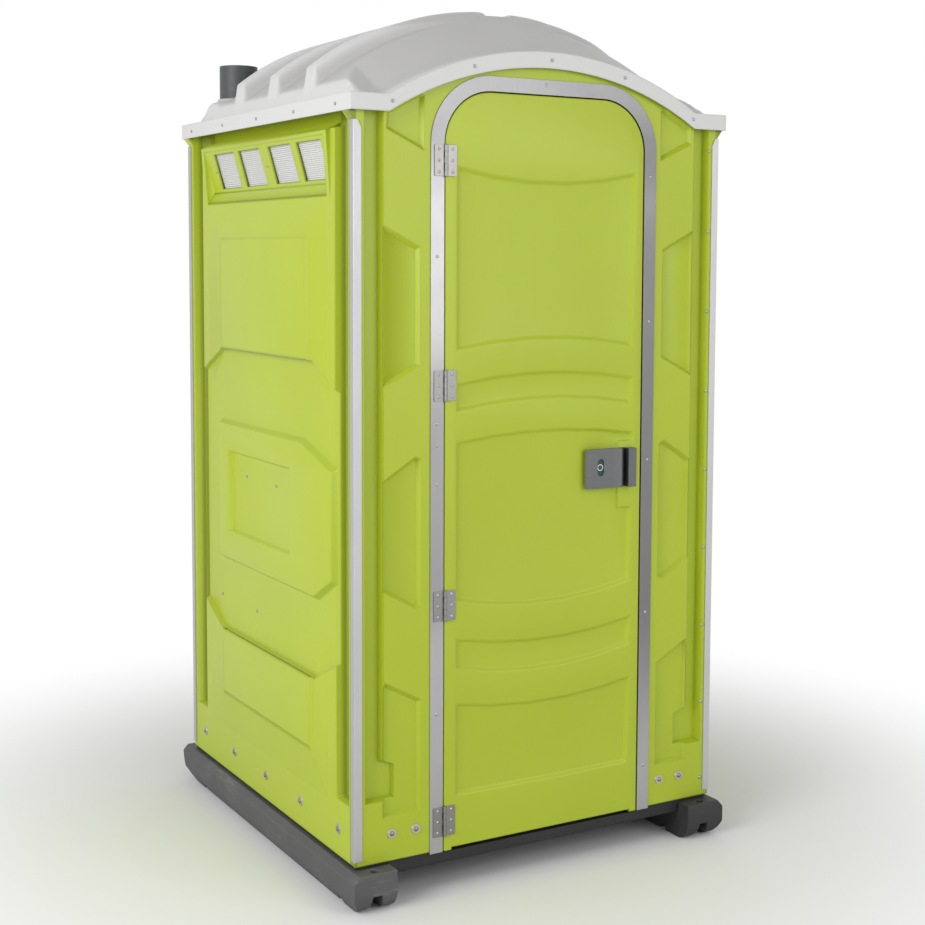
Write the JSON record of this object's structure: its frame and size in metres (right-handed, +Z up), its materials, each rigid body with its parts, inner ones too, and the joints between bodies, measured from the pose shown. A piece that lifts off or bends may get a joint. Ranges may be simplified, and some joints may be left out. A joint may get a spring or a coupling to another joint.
{
  "type": "portable toilet cabin",
  "caption": "Portable toilet cabin on skids: formed plastic walls with louvred vents, ribbed arched roof, hinged door with an occupancy lock, waste tank with seat, urinal and vent pipe.",
  "frame": {"origin": "on the ground, under the middle of the cabin's overall footprint", "axes": "+Z up, +Y towards the rear wall, so the door is on the -Y side; +X to the right seen from the front"},
  "size_m": [1.13, 1.216, 2.2574],
  "materials": {
    "lime_plastic": "satin moulded sheet",
    "roof_plastic": "translucent grey-white sheet",
    "louvre_plastic": "satin",
    "skid_plastic": "scuffed",
    "pan_plastic": "satin",
    "pipe_plastic": "satin",
    "white_plastic": "smooth",
    "aluminium": "mill finish",
    "lock_plastic": "fine grain",
    "dial_plastic": "smooth, green and red",
    "paper": "soft paper",
    "steel": "satin"
  },
  "bodies": {
    "cabin": {"base_bolts": "steel", "base_washers": "steel", "corner_rivets": "steel", "door_frame": "aluminium", "floor_pan": "pan_plastic", "frame_rivets": "steel", "front_left_trim": "aluminium", "front_right_trim": "aluminium", "front_wall": "lime_plastic", "hinge_frame_leaf_1": "steel", "hinge_frame_leaf_2": "steel", "hinge_frame_leaf_3": "steel", "hinge_frame_leaf_4": "steel", "hinge_frame_rivets": "steel", "hinge_pins": "steel", "left_skid": "skid_plastic", "left_vent_louvre": "louvre_plastic", "left_wall": "lime_plastic", "paper_holder": "white_plastic", "rear_left_trim": "aluminium", "rear_right_trim": "aluminium", "rear_wall": "lime_plastic", "right_skid": "skid_plastic", "right_vent_louvre": "louvre_plastic", "right_wall": "lime_plastic", "roof": "roof_plastic", "roof_rivets": "steel", "seat_hinge_brackets": "pan_plastic", "seat_hinge_pin": "steel", "strike_plate": "aluminium", "urinal": "white_plastic", "urinal_drain_tube": "pipe_plastic", "vent_pipe": "pipe_plastic", "vent_rivets": "steel", "wall_rivets": "steel", "waste_tank": "pan_plastic"},
    "door": {"door_inner_skin": "lime_plastic", "door_outer_skin": "lime_plastic", "hinge_door_leaf_1": "steel", "hinge_door_leaf_2": "steel", "hinge_door_leaf_3": "steel", "hinge_door_leaf_4": "steel", "hinge_door_rivets": "steel", "lock_case": "lock_plastic", "lock_inner_case": "lock_plastic", "lock_screws": "steel"},
    "lock": {"occupancy_dial": "dial_plastic", "lock_spindle": "steel", "lock_crank": "lock_plastic", "lock_knob": "lock_plastic"},
    "bolt": {"latch_bolt": "lock_plastic"},
    "seat": {"toilet_seat": "pan_plastic"},
    "lid": {"toilet_lid": "pan_plastic"},
    "roll_1": {"paper_roll_1": "paper"},
    "roll_2": {"paper_roll_2": "paper"}
  },
  "joints": [
    {"name": "door_swing", "type": "hinge", "parent": "cabin", "child": "door", "pos_m": [-0.297, -0.57385, 1], "axis": [0, 0, -1], "range_deg": [0, 100]},
    {"name": "lock_turn", "type": "hinge", "parent": "door", "child": "lock", "pos_m": [0.16, -0.55, 1.052], "axis": [0, 1, 0], "range_deg": [0, 90]},
    {"name": "bolt_slide", "type": "slide", "parent": "door", "child": "bolt", "axis": [1, 0, 0], "range_m": [0, 0.022]},
    {"name": "seat_tilt", "type": "hinge", "parent": "cabin", "child": "seat", "pos_m": [0, 0.478, 0.604], "axis": [-1, 0, 0], "range_deg": [0, 90]},
    {"name": "lid_tilt", "type": "hinge", "parent": "cabin", "child": "lid", "pos_m": [0, 0.478, 0.604], "axis": [-1, 0, 0], "range_deg": [-95, 0]},
    {"name": "roll_1_spin", "type": "hinge", "parent": "cabin", "child": "roll_1", "pos_m": [-0.46, -0.024, 0.97], "axis": [0, 1, 0], "continuous": true},
    {"name": "roll_2_spin", "type": "hinge", "parent": "cabin", "child": "roll_2", "pos_m": [-0.46, 0.084, 0.97], "axis": [0, 1, 0], "continuous": true}
  ],
  "couplings": [
    {"joint": "bolt_slide", "follows": "lock_turn", "m_per_rad": 0.014006}
  ]
}
